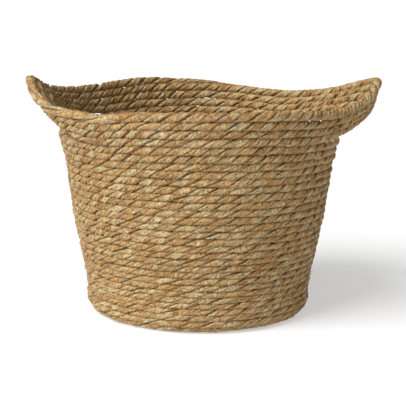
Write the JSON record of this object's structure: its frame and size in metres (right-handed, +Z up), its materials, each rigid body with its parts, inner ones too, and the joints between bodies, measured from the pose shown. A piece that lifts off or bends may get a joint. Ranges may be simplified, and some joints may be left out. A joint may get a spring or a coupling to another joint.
{
  "type": "seagrass storage basket",
  "caption": "Round open storage basket of coiled twisted seagrass rope, sewn row to row, with a flat coiled floor and a flared top band forming two pointed ear handles.",
  "frame": {"origin": "centre of the base, on the surface the basket stands on", "axes": "+Z up out of the open mouth; +X through the two handles; +Y towards the back, where the rope ends"},
  "size_m": [0.4961, 0.413, 0.3294],
  "materials": {
    "seagrass_rope": "dry twisted seagrass, tan with grey-green and brown strands",
    "sewing_thread": "natural twine"
  },
  "bodies": {
    "root": {"base_coil": "seagrass_rope", "wall_row_01": "seagrass_rope", "wall_row_02": "seagrass_rope", "wall_row_03": "seagrass_rope", "wall_row_04": "seagrass_rope", "wall_row_05": "seagrass_rope", "wall_row_06": "seagrass_rope", "wall_row_07": "seagrass_rope", "wall_row_08": "seagrass_rope", "wall_row_09": "seagrass_rope", "wall_row_10": "seagrass_rope", "wall_row_11": "seagrass_rope", "wall_row_12": "seagrass_rope", "wall_row_13": "seagrass_rope", "wall_row_14": "seagrass_rope", "wall_row_15": "seagrass_rope", "wall_row_16": "seagrass_rope", "wall_row_17": "seagrass_rope", "wall_row_18": "seagrass_rope", "wall_row_19": "seagrass_rope", "wall_row_20": "seagrass_rope", "wall_row_21": "seagrass_rope", "wall_row_22": "seagrass_rope", "wall_row_23": "seagrass_rope", "wall_row_24": "seagrass_rope", "wall_row_25": "seagrass_rope", "wall_row_26": "seagrass_rope", "wall_row_27": "seagrass_rope", "wall_row_28": "seagrass_rope", "handle_band_row_1": "seagrass_rope", "handle_band_row_2": "seagrass_rope", "handle_band_row_3": "seagrass_rope", "handle_band_row_4": "seagrass_rope", "rope_end": "seagrass_rope", "floor_stitches": "sewing_thread", "wall_stitches": "sewing_thread", "band_stitches": "sewing_thread"}
  },
  "joints": []
}
